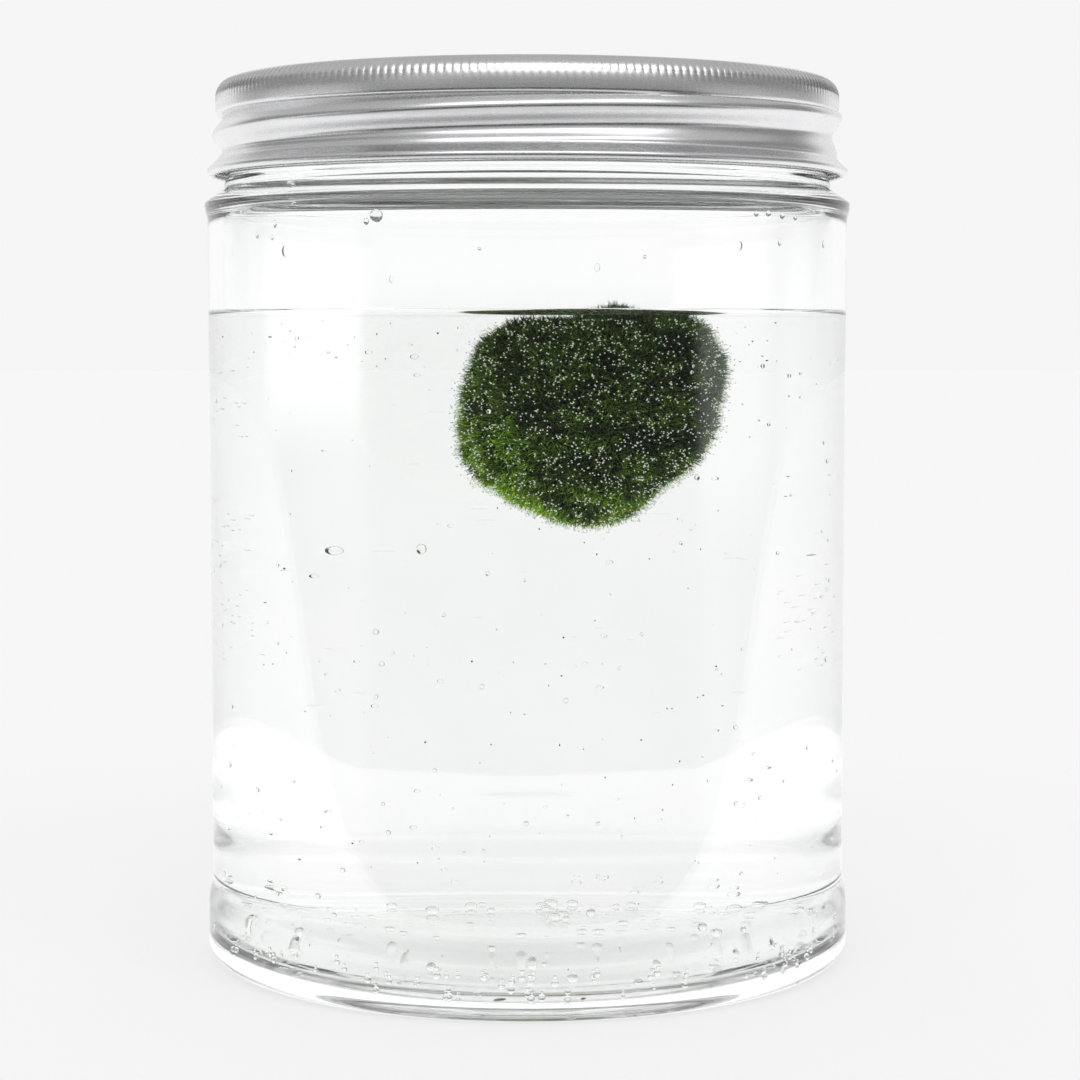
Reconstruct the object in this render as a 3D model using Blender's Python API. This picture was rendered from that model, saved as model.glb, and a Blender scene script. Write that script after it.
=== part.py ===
"""Moss ball floating in a screw-top jar of clear plastic.

Metres, +Z up. The jar stands on z = 0 and its axis is the Z axis. The lid turns on a right-hand thread.
Five solids: jar, water, moss_ball, liner and lid.
"""

import math

import bmesh
import bpy
from mathutils import Vector

MM = 0.001
SEGMENTS = 40  # flat sides of every turned piece; a multiple of 4 keeps the box centred
GAP = 0.3 * MM  # room between two pieces that meet

# Jar body
BODY_RADIUS = 46.0 * MM
FOOT_RADIUS = 46.7 * MM  # the guard ring round the foot
SHOULDER_RADIUS = 46.5 * MM  # the guard ring at the shoulder
WALL = 2.2 * MM
HEEL_RADIUS = 3.3 * MM
BASE = 2.0 * MM  # thickness of the base
FLOOR_CORNER = 3.0 * MM
CHANNEL_WIDTH = 2.6 * MM  # flat ring at the lowest part of the inside
PUSH_UP_RISE = 1.6 * MM  # the base's hump: its edge ramps up this far
PUSH_UP_RAMP = 4.5 * MM
PUSH_UP_CROWN = 2.2 * MM  # and its middle is this much higher again
FOOT_RING_TOP = 12.0 * MM
RING_STEP = 2.2 * MM  # height over which a guard ring swells from the wall
SHOULDER_RING_BOTTOM = 106.4 * MM
SHOULDER_EDGE = 108.9 * MM
SHOULDER_TOP = 111.2 * MM

# Neck and its thread
COLLAR_RADIUS = 43.6 * MM  # the neck between the shoulder and the lid's hem
COLLAR_TOP = 112.2 * MM
NECK_RADIUS = 43.05 * MM
BORE_RADIUS = 41.3 * MM
RIM_TOP = 124.6 * MM
RIM_ROUND = 0.5 * MM
LEAD = 5.08 * MM  # rise of the lid in one turn
THREAD_HEIGHT = 1.3 * MM
THREAD_ROOT_HALF = 1.3 * MM
THREAD_CREST_HALF = 0.6 * MM
THREAD_BURIED = 0.6 * MM
THREAD_START = 0.6 * math.pi
THREAD_TURNS = 1.05
THREAD_FADE = 0.22 * math.pi  # angle over which each end of the thread dies away
THREAD_ABOVE_GROOVE = 2.2 * MM  # height of the jar's ridge over the lid's pressed groove

# Lid
LID_TOP = 126.5 * MM
LID_RADIUS = 45.0 * MM
LID_CORNER = 2.2 * MM
SHEET = 0.3 * MM
HEM_CENTRE = (45.2 * MM, 113.5 * MM)
HEM_RADIUS = 0.7 * MM
SKIRT_TOP = 121.5 * MM  # the plain band above this is not pressed
SKIRT_BOTTOM = 114.4 * MM
SKIRT_ROWS = 11
GROOVE_AT_LEFT = 116.0 * MM  # height of the groove's middle where it first passes -X
GROOVE_START = 0.5 * math.pi
GROOVE_END = 4.2 * math.pi
GROOVE_FADE = 0.5 * math.pi
GROOVE_DEPTH = 1.2 * MM
GROOVE_HALF = 1.7 * MM

# Liner
LINER_RADIUS = 43.2 * MM
LINER_THICKNESS = 1.0 * MM

# Water and moss ball
WATER_LEVEL = 93.0 * MM
BALL_CENTRE = Vector((7.4, 0.0, 77.3)) * MM
BALL_RADIUS = 13.6 * MM
POCKET_GAP = 0.9 * MM  # the water's pocket is cut with a coarser ball, this much larger
# Swellings of the ball: azimuth and elevation in degrees, height in millimetres, tightness.
LOBES = (
    (0, 84, 1.5, 26),
    (0, 52, 5.7, 7),
    (180, 52, 4.9, 7),
    (180, -20, 1.6, 7),
    (0, -50, -1.9, 7),
    (0, -90, 0.9, 7),
    (270, 15, 1.0, 5),
    (300, 50, 1.3, 8),
    (235, -20, 0.8, 8),
    (100, -10, 1.1, 5),
    (60, 45, 1.6, 7),
    (130, 40, 1.2, 8),
)


def clear_scene():
    for obj in list(bpy.data.objects):
        bpy.data.objects.remove(obj)


def material(name, colour, roughness, metallic=0.0, transmission=0.0, ior=1.5):
    made = bpy.data.materials.new(name)
    made.use_nodes = True
    shader = made.node_tree.nodes["Principled BSDF"]
    shader.inputs["Base Color"].default_value = (*colour, 1.0)
    shader.inputs["Roughness"].default_value = roughness
    shader.inputs["Metallic"].default_value = metallic
    shader.inputs["Transmission Weight"].default_value = transmission
    shader.inputs["IOR"].default_value = ior
    return made


def finished(name, bm, look, sharp_degrees=30):
    """Makes the bmesh an object of that name, with its faces pointing out."""
    bmesh.ops.recalc_face_normals(bm, faces=bm.faces)
    mesh = bpy.data.meshes.new(name)
    bm.to_mesh(mesh)
    bm.free()
    mesh.shade_smooth()
    mesh.set_sharp_from_angle(angle=math.radians(sharp_degrees))
    mesh.materials.append(look)
    obj = bpy.data.objects.new(name, mesh)
    bpy.context.scene.collection.objects.link(obj)
    return obj


def arc(centre, radius, start, end, steps):
    """Points (r, z) on an arc round centre, from start to end degrees, both ends included."""
    points = []
    for i in range(steps + 1):
        angle = math.radians(start + (end - start) * i / steps)
        points.append((centre[0] + radius * math.cos(angle), centre[1] + radius * math.sin(angle)))
    return points


def turned(profile):
    """A bmesh of the (r, z) profile turned all the way round the Z axis."""
    bm = bmesh.new()
    verts = [bm.verts.new((r, 0.0, z)) for r, z in profile]
    edges = [bm.edges.new(pair) for pair in zip(verts, verts[1:])]
    bmesh.ops.spin(
        bm, geom=verts + edges, cent=(0, 0, 0), axis=(0, 0, 1), angle=math.tau, steps=SEGMENTS, use_merge=True
    )
    bmesh.ops.remove_doubles(bm, verts=bm.verts, dist=0.001 * MM)
    return bm


def fade(distance, length):
    """0 at the end of a thread, rising smoothly to 1 over the length."""
    share = min(max(distance / length, 0.0), 1.0)
    return share * share * (3 - 2 * share)


def groove_height(angle):
    """Height of the middle of the lid's groove at an angle that counts on through its turns."""
    return GROOVE_AT_LEFT + LEAD * (angle - math.pi) / math.tau


def groove_depth(x, y, z):
    """How far the pressed groove draws the lid's skirt inwards at a point."""
    angle = math.atan2(y, x)
    depth = 0.0
    for turn in range(3):
        along = angle + turn * math.tau
        ends = fade(along - GROOVE_START, GROOVE_FADE) * fade(GROOVE_END - along, GROOVE_FADE)
        off = (z - groove_height(along)) / GROOVE_HALF
        if abs(off) < 1:
            depth = max(depth, GROOVE_DEPTH * ends * math.cos(off * math.pi / 2) ** 2)
    return depth


def floor_profile(radius, height):
    """The inside of the base from the wall inwards: corner, channel and hump, for a bore of that radius."""
    edge = radius - FLOOR_CORNER - CHANNEL_WIDTH
    crown = edge - PUSH_UP_RAMP
    corner = arc((radius - FLOOR_CORNER, height + FLOOR_CORNER), FLOOR_CORNER, 0, -90, 3)
    hump = [
        (crown * share, height + PUSH_UP_RISE + PUSH_UP_CROWN * (1 - share * share))
        for share in (1.0, 0.72, 0.4, 0.0)
    ]
    return corner + [(edge, height)] + hump


def jar_profile():
    """The jar's wall from the middle of its underside, up its outside, over the rim and down its inside."""
    inner = BODY_RADIUS - WALL
    floor = floor_profile(inner, BASE)
    underside = [(r, z - BASE) for r, z in reversed(floor[-5:])]
    heel = arc((FOOT_RADIUS - HEEL_RADIUS, HEEL_RADIUS), HEEL_RADIUS, -90, 0, 4)
    panel = [
        (FOOT_RADIUS, FOOT_RING_TOP - RING_STEP),
        (BODY_RADIUS, FOOT_RING_TOP),
        (BODY_RADIUS, SHOULDER_RING_BOTTOM),
        (SHOULDER_RADIUS, SHOULDER_RING_BOTTOM + RING_STEP),
        (SHOULDER_RADIUS, SHOULDER_EDGE),
        (SHOULDER_RADIUS - 0.3 * MM, SHOULDER_EDGE + 0.4 * MM),
        (COLLAR_RADIUS + 0.2 * MM, SHOULDER_TOP - 0.1 * MM),
        (COLLAR_RADIUS, SHOULDER_TOP + 0.2 * MM),
        (COLLAR_RADIUS, COLLAR_TOP),
        (NECK_RADIUS, COLLAR_TOP + 0.6 * MM),
    ]
    rim = arc((NECK_RADIUS - RIM_ROUND, RIM_TOP - RIM_ROUND), RIM_ROUND, 0, 90, 2)
    rim += arc((BORE_RADIUS + RIM_ROUND, RIM_TOP - RIM_ROUND), RIM_ROUND, 90, 180, 2)
    inside_shoulder = [
        (BORE_RADIUS, SHOULDER_TOP - 0.3 * MM),
        (BORE_RADIUS + 0.4 * MM, SHOULDER_TOP - 0.8 * MM),
        (inner - 0.2 * MM, SHOULDER_EDGE - 0.3 * MM),
        (inner, SHOULDER_EDGE - 0.8 * MM),
    ]
    return underside + heel + panel + rim + inside_shoulder + floor


def thread_ridge():
    """The moulded thread: a four-sided section carried up the helix and sunk at both ends into the neck."""
    bm = bmesh.new()
    steps = round(THREAD_TURNS * SEGMENTS)
    rings = []
    for i in range(steps + 1):
        angle = THREAD_START + i * math.tau / SEGMENTS
        run = i * math.tau / SEGMENTS
        left = (steps - i) * math.tau / SEGMENTS
        height = THREAD_HEIGHT * fade(run, THREAD_FADE) * fade(left, THREAD_FADE) - 0.3 * THREAD_BURIED
        middle = groove_height(angle) + THREAD_ABOVE_GROOVE
        inner = NECK_RADIUS - THREAD_BURIED
        crest = NECK_RADIUS + max(height, -0.3 * THREAD_BURIED)
        section = (
            (inner, -THREAD_ROOT_HALF),
            (crest, -THREAD_CREST_HALF),
            (crest, THREAD_CREST_HALF),
            (inner, THREAD_ROOT_HALF),
        )
        rings.append(
            [bm.verts.new((r * math.cos(angle), r * math.sin(angle), middle + z)) for r, z in section]
        )
    for low, high in zip(rings, rings[1:]):
        for j in range(4):
            bm.faces.new((low[j], high[j], high[j - 1], low[j - 1]))
    bm.faces.new(rings[0])
    bm.faces.new(reversed(rings[-1]))
    return bm


def make_jar():
    look = material("clear_plastic", (0.97, 0.98, 0.98), 0.02, transmission=1.0, ior=1.57)
    jar = finished("jar", turned(jar_profile()), look)
    ridge = finished("jar_thread_cutter", thread_ridge(), look)
    ridge.hide_render = True
    ridge.display_type = "WIRE"
    union = jar.modifiers.new("thread", "BOOLEAN")
    union.operation = "UNION"
    union.object = ridge


def lid_profile():
    """The outside of the lid's sheet, from the middle of its top down to the rolled hem."""
    corner = arc((LID_RADIUS - LID_CORNER, LID_TOP - LID_CORNER), LID_CORNER, 90, 0, 3)
    drop = (SKIRT_TOP - SKIRT_BOTTOM) / SKIRT_ROWS
    skirt = [(LID_RADIUS, SKIRT_TOP - drop * i) for i in range(SKIRT_ROWS + 1)]
    hem = arc(HEM_CENTRE, HEM_RADIUS, 60, -110, 5)
    return [(0.0, LID_TOP)] + corner + skirt + hem


def make_lid():
    bm = turned(lid_profile())
    for vert in bm.verts:
        x, y, z = vert.co
        if SKIRT_BOTTOM - 0.01 * MM < z < SKIRT_TOP + 0.01 * MM and math.hypot(x, y) > LID_RADIUS - 0.1 * MM:
            share = 1 - groove_depth(x, y, z) / LID_RADIUS
            vert.co = (x * share, y * share, z)
    lid = finished("lid", bm, material("aluminium", (0.80, 0.80, 0.81), 0.3, metallic=1.0))
    sheet = lid.modifiers.new("sheet", "SOLIDIFY")
    sheet.thickness = SHEET
    sheet.offset = -1.0
    sheet.use_even_offset = True


def make_liner():
    top = LID_TOP - SHEET - GAP
    bottom = top - LINER_THICKNESS
    profile = [(0.0, bottom), (LINER_RADIUS, bottom), (LINER_RADIUS, top), (0.0, top)]
    finished("liner", turned(profile), material("foam", (0.93, 0.93, 0.91), 0.8))


def ball_radius(direction):
    """Distance from the ball's centre to its filament tips in a direction."""
    radius = BALL_RADIUS
    for azimuth, elevation, height, tightness in LOBES:
        turn = math.radians(azimuth)
        tilt = math.radians(elevation)
        towards = Vector((math.cos(tilt) * math.cos(turn), math.cos(tilt) * math.sin(turn), math.sin(tilt)))
        radius += height * MM * math.exp(-tightness * (1 - direction.dot(towards)))
    return radius


def ball(subdivisions, larger=0.0):
    bm = bmesh.new()
    bmesh.ops.create_icosphere(bm, subdivisions=subdivisions, radius=1.0)
    for vert in bm.verts:
        direction = vert.co.normalized()
        vert.co = BALL_CENTRE + direction * (ball_radius(direction) + larger)
    return bm


def make_moss_ball():
    finished("moss_ball", ball(4), material("moss", (0.03, 0.11, 0.02), 0.75), sharp_degrees=80)


def make_water():
    look = material("water", (0.98, 1.0, 0.99), 0.0, transmission=1.0, ior=1.333)
    radius = BODY_RADIUS - WALL - GAP
    profile = [(0.0, WATER_LEVEL), (radius, WATER_LEVEL)] + floor_profile(radius, BASE + GAP)
    water = finished("water", turned(profile), look)
    pocket = finished("water_pocket_cutter", ball(3, POCKET_GAP), look)
    pocket.hide_render = True
    pocket.display_type = "WIRE"
    cut = water.modifiers.new("pocket", "BOOLEAN")
    cut.operation = "DIFFERENCE"
    cut.object = pocket


def main():
    clear_scene()
    make_jar()
    make_lid()
    make_liner()
    make_moss_ball()
    make_water()


main()
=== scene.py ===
"""Moss ball floating in a clear screw-top jar of water: the finish of every surface and the small details.

Metres, +Z up. The jar stands on z = 0 and -Y is its front.
"""

import math
import random

import bmesh
import bpy
from bpy.props import FloatProperty, FloatVectorProperty, IntProperty, PointerProperty
from bpy.types import Operator, Panel, PropertyGroup
from mathutils import Matrix, Vector, noise


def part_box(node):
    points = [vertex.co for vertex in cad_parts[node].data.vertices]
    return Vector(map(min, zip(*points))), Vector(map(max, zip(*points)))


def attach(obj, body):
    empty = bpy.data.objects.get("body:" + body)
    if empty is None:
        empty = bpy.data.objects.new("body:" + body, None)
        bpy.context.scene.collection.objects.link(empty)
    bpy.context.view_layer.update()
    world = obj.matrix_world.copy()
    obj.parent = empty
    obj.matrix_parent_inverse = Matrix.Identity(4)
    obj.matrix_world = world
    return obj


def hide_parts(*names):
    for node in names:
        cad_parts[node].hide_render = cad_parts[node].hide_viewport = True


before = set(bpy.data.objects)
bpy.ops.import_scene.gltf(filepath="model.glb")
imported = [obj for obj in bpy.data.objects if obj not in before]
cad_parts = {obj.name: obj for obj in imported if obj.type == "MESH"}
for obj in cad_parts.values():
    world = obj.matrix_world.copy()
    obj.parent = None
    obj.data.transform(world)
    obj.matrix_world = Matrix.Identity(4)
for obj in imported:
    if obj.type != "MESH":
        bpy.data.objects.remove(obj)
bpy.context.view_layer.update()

bl_info = {
    "name": "Moss Ball Jar",
    "version": (1, 0, 0),
    "blender": (4, 5, 0),
    "location": "View3D > Sidebar > Moss Jar",
    "description": "Builds a moss ball floating in a clear screw-top jar of water",
    "category": "Add Mesh",
}

MM = 0.001

JAR_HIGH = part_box("jar")[1]
LID_LOW, LID_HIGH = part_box("lid")
WATER_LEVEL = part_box("water")[1][2]
BALL_LOW, BALL_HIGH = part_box("moss_ball")
BALL_CENTRE = (Vector(BALL_LOW) + Vector(BALL_HIGH)) / 2

# Jar: radii and heights that follow from the frame's jar
FOOT_RADIUS = JAR_HIGH[0]
BODY_RADIUS = FOOT_RADIUS - 0.7 * MM
SHOULDER_RADIUS = FOOT_RADIUS - 0.3 * MM
RIM_TOP = JAR_HIGH[2]
NECK_RADIUS = BODY_RADIUS - 2.95 * MM
BORE_RADIUS = BODY_RADIUS - 4.7 * MM
JAR_SIDES = 256
HEEL_RADIUS = 3.3 * MM
FLOOR_CORNER = 3.0 * MM
CHANNEL_WIDTH = 2.6 * MM
HUMP_RISE = 1.6 * MM
HUMP_RAMP = 4.5 * MM
HUMP_CROWN = 2.2 * MM
FOOT_RING_TOP = 13.2 * MM
RING_STEP = 5.0 * MM
SHOULDER_RING_BOTTOM = 106.4 * MM
SHOULDER_EDGE = 108.9 * MM
SHOULDER_TOP = 111.0 * MM
COLLAR_RADIUS = FOOT_RADIUS - 3.1 * MM  # the neck just over the shoulder, below the thread
COLLAR_TOP = 112.3 * MM
RIM_ROUND = 0.5 * MM
SHOULDER_ROUND = 0.45 * MM
COLLAR_FILLET = 0.5 * MM
NECK_ROWS = 34

# The screw thread, right-handed, shared by the jar's ridge and the lid's pressed groove
LEAD = 5.08 * MM
GROOVE_AT_LEFT = 116.0 * MM  # height of the groove's middle where it first passes -X
RIDGE_OVER_GROOVE = 2.2 * MM
RIDGE_HEIGHT = 1.1 * MM
RIDGE_HALF = 1.3 * MM
RIDGE_START = 0.6 * math.pi
RIDGE_END = 2.7 * math.pi
RIDGE_FADE = 0.2 * math.pi

# Lid
LID_SIDES = 762  # three to each flute of the knurled edge
FLUTES = 254
FLUTE_DEPTH = 0.26 * MM
FLUTE_TOP = LID_HIGH[2] - 0.12 * MM
FLUTE_BOTTOM = LID_HIGH[2] - 2.7 * MM
BAND_RADIUS = 44.75 * MM
BAND_BOTTOM = LID_HIGH[2] - 5.0 * MM
SKIRT_RADIUS = 44.5 * MM
SKIRT_BOTTOM = LID_LOW[2] + 2.35 * MM
SKIRT_ROWS = 22
GROOVE_SWING = 0.72 * MM
GROOVE_START = 0.5 * math.pi
GROOVE_FADE_IN = 0.5 * math.pi
GROOVE_END = 4.3 * math.pi
GROOVE_FADE_OUT = 1.1 * math.pi
HEM_RADIUS = 0.72 * MM
HEM_OUTSIDE = 46.0 * MM
PANEL_SUNK = 0.35 * MM  # the panel lies this far below the lid's top edge
CORNER_WIDE = 2.3 * MM
CORNER_TALL = 2.5 * MM
FLUTES_INSIDE = 40.5 * MM  # no flute reaches further in than this

# Turned pieces
LONG_STRAIGHT = 3.0 * MM
BRACE = 0.3 * MM

# Water
WATERLINE_RADIUS = 7.4 * MM  # of the moss ball where it breaks the surface
WATER_RINGS = 44
WATER_LAP = 0.05 * MM  # the water reaches this far into the wall, so that no film of air shows


def smooth_step(x):
    x = min(max(x, 0.0), 1.0)
    return x * x * (3 - 2 * x)


def arc(centre, radii, start, end, steps):
    """Points (r, z) on an elliptical arc from start to end degrees, both ends included."""
    points = []
    for i in range(steps + 1):
        angle = math.radians(start + (end - start) * i / steps)
        points.append((centre[0] + radii[0] * math.cos(angle), centre[1] + radii[1] * math.sin(angle)))
    return points


def ease(start, end, steps):
    """Points (r, z) from start to end: z runs evenly and r eases in and out."""
    points = []
    for i in range(steps + 1):
        share = i / steps
        r = start[0] + (end[0] - start[0]) * smooth_step(share)
        points.append((r, start[1] + (end[1] - start[1]) * share))
    return points


def braced(profile):
    """The profile with a point near both ends of each long straight, so that the straight shades flat."""
    points = [profile[0]]
    for (r0, z0), (r1, z1) in zip(profile, profile[1:]):
        long = math.hypot(r1 - r0, z1 - z0)
        if long > LONG_STRAIGHT:
            near = BRACE / long
            for share in (near, 1 - near):
                points.append((r0 + (r1 - r0) * share, z0 + (z1 - z0) * share))
        points.append((r1, z1))
    return points


def turned(profile, sides):
    """A bmesh of the (r, z) profile turned all the way round the Z axis."""
    bm = bmesh.new()
    verts = [bm.verts.new((r, 0.0, z)) for r, z in braced(profile)]
    edges = [bm.edges.new(pair) for pair in zip(verts, verts[1:])]
    bmesh.ops.spin(
        bm, geom=verts + edges, cent=(0, 0, 0), axis=(0, 0, 1), angle=math.tau, steps=sides, use_merge=True
    )
    bmesh.ops.remove_doubles(bm, verts=bm.verts, dist=0.001 * MM)
    bmesh.ops.recalc_face_normals(bm, faces=bm.faces)
    return bm


def piece(name, bm, look, body, stands_for=None, sharp_degrees=40):
    """Makes the bmesh a piece of the model that rides on a body, and hides the frame's part that it stands
    for, if any.
    """
    mesh = bpy.data.meshes.new(name)
    bm.to_mesh(mesh)
    bm.free()
    mesh.materials.append(look)
    mesh.shade_smooth()
    mesh.set_sharp_from_angle(angle=math.radians(sharp_degrees))
    obj = bpy.data.objects.new(name, mesh)
    bpy.context.scene.collection.objects.link(obj)
    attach(obj, body)
    if stands_for:
        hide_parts(stands_for)
    return obj


def groove_height(angle):
    """Height of the middle of the lid's groove at an angle that counts on through its turns."""
    return GROOVE_AT_LEFT + LEAD * (angle - math.pi) / math.tau


# ---------------------------------------------------------------- materials

PAINTED_LIGHT_SIDE = Vector((-0.62, 0.0, -0.78))  # painted light: the moss is coloured paler and yellower towards this side, where light falls on it

# What the moss's colour is multiplied by: one shade for each filament, patches over the ball, and painted
# light, a slow change from darker on the far side to paler on the lit side.
FILAMENT_SHADES = [
    (0.0, (0.30, 0.36, 0.28)),
    (0.45, (0.65, 0.72, 0.60)),
    (0.8, (1.1, 1.1, 1.0)),
    (1.0, (2.2, 2.0, 1.6)),
]
MOSS_PATCHES = [(0.38, (0.22, 0.26, 0.22)), (0.58, (1.3, 1.25, 1.1))]
MOSS_PAINTED_LIGHT = [(0.3, (0.75, 0.75, 0.75)), (0.65, (0.95, 0.95, 0.9)), (1.0, (2.3, 2.1, 1.3))]


class Look:
    """A Principled material with short calls for the nodes that vary it."""

    def __init__(self, name, **values):
        self.material = bpy.data.materials.new(name)
        self.material.use_nodes = True
        self.tree = self.material.node_tree
        self.shader = self.tree.nodes["Principled BSDF"]
        self.output = self.tree.nodes["Material Output"]
        for socket, value in values.items():
            self.set(socket.replace("_", " "), value)

    def set(self, socket, value):
        if isinstance(value, tuple) and len(value) == 3:
            value = (*value, 1.0)
        self.shader.inputs[socket].default_value = value

    def node(self, kind, **settings):
        made = self.tree.nodes.new(kind)
        for key, value in settings.items():
            setattr(made, key, value)
        return made

    def feed(self, source, node, socket):
        self.tree.links.new(source, node.inputs[socket])

    def place(self, scale=(1.0, 1.0, 1.0)):
        """Object coordinates, stretched."""
        coordinates = self.node("ShaderNodeTexCoord")
        mapping = self.node("ShaderNodeMapping")
        mapping.inputs["Scale"].default_value = scale
        self.feed(coordinates.outputs["Object"], mapping, "Vector")
        return mapping.outputs["Vector"]

    def grain(self, scale, detail=2.0, roughness=0.5, stretch=(1.0, 1.0, 1.0)):
        """A noise over the surface, about 0 to 1."""
        texture = self.node("ShaderNodeTexNoise")
        texture.inputs["Scale"].default_value = scale
        texture.inputs["Detail"].default_value = detail
        texture.inputs["Roughness"].default_value = roughness
        self.feed(self.place(stretch), texture, "Vector")
        return texture.outputs["Fac"]

    def attribute(self, name):
        return self.node("ShaderNodeAttribute", attribute_name=name).outputs["Fac"]

    def ramp(self, source, stops):
        """Colours at places from 0 to 1."""
        made = self.node("ShaderNodeValToRGB")
        while len(made.color_ramp.elements) < len(stops):
            made.color_ramp.elements.new(0.5)
        for element, (position, colour) in zip(made.color_ramp.elements, stops):
            element.position = position
            element.color = (*colour, 1.0)
        self.feed(source, made, "Fac")
        return made.outputs["Color"]

    def spread(self, source, low, high, source_low=0.3, source_high=0.7):
        """The source's range stretched to low .. high."""
        made = self.node("ShaderNodeMapRange")
        made.inputs["From Min"].default_value = source_low
        made.inputs["From Max"].default_value = source_high
        made.inputs["To Min"].default_value = low
        made.inputs["To Max"].default_value = high
        self.feed(source, made, "Value")
        return made.outputs["Result"]

    def blend(self, factor, first, second, mode="MIX"):
        made = self.node("ShaderNodeMix", data_type="RGBA", blend_type=mode)
        for socket, value in (("Factor", factor), ("A", first), ("B", second)):
            target = next(i for i in made.inputs if i.name == socket and i.enabled)
            if isinstance(value, bpy.types.NodeSocket):
                self.tree.links.new(value, target)
            elif socket == "Factor":
                target.default_value = value
            else:
                target.default_value = (*value, 1.0)
        return next(o for o in made.outputs if o.enabled)

    def relief(self, height, distance, strength=1.0):
        made = self.node("ShaderNodeBump")
        made.inputs["Strength"].default_value = strength
        made.inputs["Distance"].default_value = distance
        self.feed(height, made, "Height")
        self.feed(made.outputs["Normal"], self.shader, "Normal")

    def to(self, socket, source):
        self.feed(source, self.shader, socket)


def clear_plastic_look(settings):
    look = Look("clear_plastic", Transmission_Weight=1.0, IOR=settings.bend)
    look.to("Base Color", look.ramp(look.grain(60.0), [(0.3, (0.985, 0.992, 0.99)), (0.7, (1.0, 1.0, 1.0))]))
    look.to("Roughness", look.spread(look.grain(900.0, 4.0), 0.0, 0.035, 0.55, 0.8))
    look.relief(look.grain(55.0, 1.0, stretch=(1.0, 1.0, 0.35)), 0.012 * MM)
    return look.material


def water_look(settings):
    look = Look("water", Transmission_Weight=1.0, IOR=settings.bend, Roughness=0.0)
    tint = tuple(settings.tint)
    look.to("Base Color", look.ramp(look.grain(40.0), [(0.3, tint), (0.7, (1.0, 1.0, 1.0))]))
    return look.material


def aluminium_look(settings):
    look = Look("satin_aluminium", Metallic=1.0)
    metal = tuple(settings.metal)
    cooler = tuple(0.93 * c for c in metal)
    cloud = look.grain(70.0, 3.0)
    look.to("Base Color", look.ramp(cloud, [(0.35, cooler), (0.65, metal)]))
    grain = look.grain(500.0, 5.0, 0.6, stretch=(1.0, 1.0, 7.0))
    look.to("Roughness", look.spread(grain, settings.satin - 0.04, settings.satin + 0.04))
    look.relief(grain, 0.0003 * MM)
    return look.material


def foam_look():
    look = Look("liner_foam", Roughness=0.85)
    cells = look.grain(2500.0, 2.0)
    look.to("Base Color", look.ramp(cells, [(0.3, (0.80, 0.80, 0.78)), (0.6, (0.93, 0.93, 0.91))]))
    look.relief(cells, 0.03 * MM)
    return look.material


def moss_core_look(settings):
    look = Look("moss_core", Roughness=0.8)
    # Painted shade: the core is coloured as the near-black shade deep among the filaments, up to a darkened
    # middle green.
    deep_shade = tuple(settings.deep_shade)
    mid = tuple(0.35 * c for c in settings.mid)
    look.to("Base Color", look.ramp(look.grain(1100.0, 4.0, 0.6), [(0.4, deep_shade), (0.75, mid)]))
    look.relief(look.grain(2200.0, 3.0), 0.2 * MM)
    return look.material


def filament_look(settings):
    """Dark at the root with painted shade, and yellow-green at the tip, with some filaments paler than
    others.
    """
    look = Look("moss_filaments", Roughness=0.42)
    deep_shade, mid, tip = tuple(settings.deep_shade), tuple(settings.mid), tuple(settings.tip)
    # Painted shade at the roots, then the moss's own green to yellow-green towards the tips.
    along = look.ramp(look.attribute("along"), [(0.0, deep_shade), (0.45, mid), (1.0, tip)])
    shade = look.ramp(look.attribute("shade"), FILAMENT_SHADES)
    patches = look.ramp(look.grain(230.0, 3.0, 0.6), MOSS_PATCHES)
    # Painted light: the colour grows paler and yellower towards the lower left, as if lit from there, and
    # darker on the far side.
    slant = look.node("ShaderNodeVectorMath", operation="DOT_PRODUCT")
    look.feed(look.place(), slant, 0)
    slant.inputs[1].default_value = PAINTED_LIGHT_SIDE
    middle = BALL_CENTRE.dot(PAINTED_LIGHT_SIDE)
    reach = (BALL_HIGH[0] - BALL_LOW[0]) / 2
    painted_light_share = look.spread(slant.outputs["Value"], 0.0, 1.0, middle - reach, middle + reach)
    painted_lighting = look.ramp(painted_light_share, MOSS_PAINTED_LIGHT)
    shaded = look.blend(1.0, look.blend(1.0, along, shade, "MULTIPLY"), patches, "MULTIPLY")
    look.to("Base Color", look.blend(1.0, shaded, painted_lighting, "MULTIPLY"))
    look.set("Sheen Weight", 0.25)
    look.set("Sheen Roughness", 0.4)
    return look.material


def glinting_pearl_look():
    """The tiny bubbles of gas that the moss gives off, with a faint painted glow so that they glint bright
    against it.
    """
    look = Look("moss_pearls", Roughness=0.18)
    colours = [(0.35, (0.80, 0.92, 0.66)), (0.65, (1.0, 1.0, 0.96))]
    look.to("Base Color", look.ramp(look.grain(500.0), colours))
    look.set("Specular IOR Level", 0.8)
    # Painted glint: the pearls give off a little light of their own, though they are no lamp.
    look.set("Emission Color", (0.86, 1.0, 0.78))
    look.set("Emission Strength", 0.32)
    return look.material


def bubble_look(name, bend=1.333):
    look = Look(name, Transmission_Weight=1.0, IOR=bend)
    look.to("Base Color", look.ramp(look.grain(800.0), [(0.3, (0.97, 0.98, 0.97)), (0.7, (1.0, 1.0, 1.0))]))
    look.to("Roughness", look.spread(look.grain(1500.0), 0.0, 0.02))
    return look.material


def speck_look(settings):
    look = Look("specks", Roughness=0.7)
    dark = tuple(settings.speck)
    pale = tuple(min(1.0, 3.0 * c + 0.1) for c in settings.speck)
    look.to("Base Color", look.ramp(look.grain(260.0, 2.0), [(0.35, dark), (0.7, pale)]))
    return look.material


# ---------------------------------------------------------------- settings


def length(name, description, default):
    return FloatProperty(name=name, description=description, default=default, unit="LENGTH", precision=5)


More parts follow.
